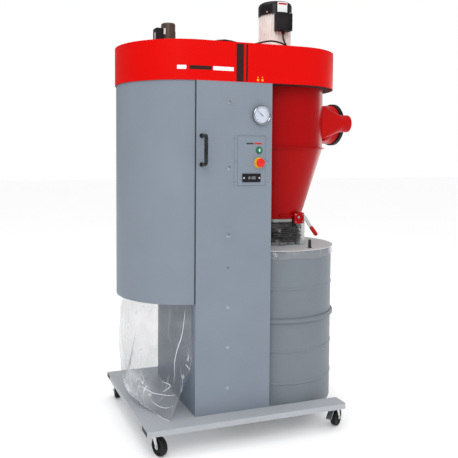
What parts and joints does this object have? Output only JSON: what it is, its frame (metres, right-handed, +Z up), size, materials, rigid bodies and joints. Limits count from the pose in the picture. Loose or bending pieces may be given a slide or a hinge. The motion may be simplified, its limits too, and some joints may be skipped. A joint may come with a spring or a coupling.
{
  "type": "dust collector",
  "caption": "Cyclone dust collector on a wheeled steel base: filter housing with a clear dust bag beside a cyclone and fan over a roll-out drum.",
  "frame": {"origin": "on the floor, under the middle of the whole machine's outer box", "axes": "+X towards the hose inlets and the drum's way out, -Y towards the control panel, +Z up"},
  "size_m": [1.1399, 0.704, 1.852],
  "materials": {
    "grey_paint": "satin powder coat",
    "dark_grey_paint": "satin powder coat",
    "bright_red_paint": "gloss powder coat",
    "red_paint": "gloss powder coat",
    "zinc": "zinc plated",
    "black_rubber": "matte",
    "black_plastic": "satin",
    "green_plastic": "gloss",
    "yellow_plastic": "gloss",
    "red_plastic": "gloss",
    "chrome_bezel": "polished",
    "clear_glass": "clear",
    "motor_metal": "painted silver",
    "small_motor_metal": "painted",
    "steel_bright": "machined",
    "clear_film": "thin clear film",
    "filter_media": "pleated",
    "bellows_hose": "matte, creased",
    "pale_lid": "satin"
  },
  "bodies": {
    "machine": {"base_deck": "grey_paint", "caster_plates": "zinc", "column_frame": "dark_grey_paint", "column_front": "grey_paint", "fasteners": "zinc", "push_handle": "black_plastic", "control_panel": "grey_paint", "stop_collar": "yellow_plastic", "hour_meter": "black_plastic", "gauge_case": "chrome_bezel", "gauge_lens": "clear_glass", "hood_shell": "bright_red_paint", "hood_floor": "grey_paint", "fan_scroll": "dark_grey_paint", "motor_body": "motor_metal", "motor_cowl": "black_plastic", "motor_box": "black_plastic", "motor_cables": "black_rubber", "filter_housing": "grey_paint", "filter_floor": "grey_paint", "bag_clamp": "zinc", "dust_bag": "clear_film", "filter_cartridge": "filter_media", "shaker_motor": "small_motor_metal", "shaker_box": "black_plastic", "cyclone_barrel": "red_paint", "vortex_tube": "red_paint", "cyclone_cone": "red_paint", "inlet_duct": "red_paint", "inlet_ring": "black_rubber", "inlet_branch": "red_paint", "lever_bracket": "red_paint", "outlet_bellows": "bellows_hose", "outlet_clamp": "zinc"},
    "fork_fl": {"fork_front_left": "zinc"},
    "fork_fr": {"fork_front_right": "zinc"},
    "fork_rl": {"fork_rear_left": "zinc"},
    "fork_rr": {"fork_rear_right": "zinc"},
    "wheel_fl": {"wheel_front_left": "black_rubber"},
    "wheel_fr": {"wheel_front_right": "black_rubber"},
    "wheel_rl": {"wheel_rear_left": "black_rubber"},
    "wheel_rr": {"wheel_rear_right": "black_rubber"},
    "brake": {"brake_pedal": "zinc"},
    "start": {"start_button": "green_plastic"},
    "stop": {"stop_button": "red_plastic"},
    "needle": {"gauge_needle": "black_plastic"},
    "fan_rotor": {"fan_impeller": "steel_bright", "motor_shaft": "steel_bright"},
    "paddle": {"paddle_shaft": "steel_bright"},
    "lever": {"lever_arm": "zinc", "lever_grip": "red_plastic"},
    "link": {"lift_link": "zinc"},
    "lid": {"drum_lid": "pale_lid", "lid_sensor": "black_plastic", "lid_clamp": "zinc"},
    "drum": {"drum_body": "grey_paint", "drum_hoop": "grey_paint", "drum_liner": "clear_film"},
    "drum_axle_left": {"drum_wheels_left": "black_rubber"},
    "drum_axle_right": {"drum_wheels_right": "black_rubber"}
  },
  "joints": [
    {"name": "front_left_swivel", "type": "hinge", "parent": "machine", "child": "fork_fl", "pos_m": [-0.484, -0.289, 0.1], "axis": [0, 0, 1], "continuous": true},
    {"name": "front_left_roll", "type": "hinge", "parent": "fork_fl", "child": "wheel_fl", "pos_m": [-0.47463, -0.31218, 0.0375], "axis": [0.9272, 0.3746, 0], "continuous": true},
    {"name": "front_right_swivel", "type": "hinge", "parent": "machine", "child": "fork_fr", "pos_m": [0.3085, -0.306, 0.1], "axis": [0, 0, 1], "continuous": true},
    {"name": "front_right_roll", "type": "hinge", "parent": "fork_fr", "child": "wheel_fr", "pos_m": [0.32872, -0.2913, 0.0375], "axis": [-0.5878, 0.809, 0], "continuous": true},
    {"name": "rear_left_swivel", "type": "hinge", "parent": "machine", "child": "fork_rl", "pos_m": [-0.499, 0.285, 0.1], "axis": [0, 0, 1], "continuous": true},
    {"name": "rear_left_roll", "type": "hinge", "parent": "fork_rl", "child": "wheel_rl", "pos_m": [-0.49639, 0.30986, 0.0375], "axis": [-0.9945, 0.1045, 0], "continuous": true},
    {"name": "rear_right_swivel", "type": "hinge", "parent": "machine", "child": "fork_rr", "pos_m": [0.3, 0.321, 0.1], "axis": [0, 0, 1], "continuous": true},
    {"name": "rear_right_roll", "type": "hinge", "parent": "fork_rr", "child": "wheel_rr", "pos_m": [0.275, 0.321, 0.0375], "axis": [0, -1, 0], "continuous": true},
    {"name": "brake_press", "type": "hinge", "parent": "fork_fr", "child": "brake", "pos_m": [0.29272, -0.31746, 0.088], "axis": [0.5878, -0.809, 0], "range_deg": [0, 12]},
    {"name": "drum_roll_out", "type": "slide", "parent": "machine", "child": "drum", "axis": [1, 0, 0], "range_m": [0, 0.6]},
    {"name": "drum_axle_left_spin", "type": "hinge", "parent": "drum", "child": "drum_axle_left", "pos_m": [0.012, 0.006, 0.03], "axis": [0, 1, 0], "continuous": true},
    {"name": "drum_axle_right_spin", "type": "hinge", "parent": "drum", "child": "drum_axle_right", "pos_m": [0.294, 0.006, 0.03], "axis": [0, 1, 0], "continuous": true},
    {"name": "start_press", "type": "slide", "parent": "machine", "child": "start", "axis": [0, 1, 0], "range_m": [0, 0.003], "stiffness_N_per_m": 400},
    {"name": "stop_press", "type": "slide", "parent": "machine", "child": "stop", "axis": [0, 1, 0], "range_m": [0, 0.0035], "stiffness_N_per_m": 600},
    {"name": "needle_turn", "type": "hinge", "parent": "machine", "child": "needle", "pos_m": [-0.037, -0.287, 1.325], "axis": [0, 1, 0], "range_deg": [-90, 180]},
    {"name": "fan_spin", "type": "hinge", "parent": "machine", "child": "fan_rotor", "pos_m": [0.168, 0.004, 1.6], "axis": [0, 0, 1], "continuous": true},
    {"name": "paddle_spin", "type": "hinge", "parent": "machine", "child": "paddle", "pos_m": [-0.331, 0.039, 1.2], "axis": [0, 0, 1], "continuous": true},
    {"name": "lid_lift", "type": "slide", "parent": "machine", "child": "lid", "axis": [0, 0, 1], "range_m": [0, 0.0344], "deforming": ["outlet_bellows"]},
    {"name": "lever_turn", "type": "hinge", "parent": "machine", "child": "lever", "pos_m": [0.223, -0.1275, 0.89], "axis": [0, -1, 0], "range_deg": [0, 70]},
    {"name": "link_swing", "type": "hinge", "parent": "lever", "child": "link", "pos_m": [0.24758, -0.1316, 0.8728], "axis": [0, -1, 0], "range_deg": [-70, 0]}
  ],
  "couplings": [
    {"joint": "lever_turn", "follows": "lid_lift", "rad_per_m": 35.51},
    {"joint": "link_swing", "follows": "lid_lift", "rad_per_m": -35.51}
  ]
}
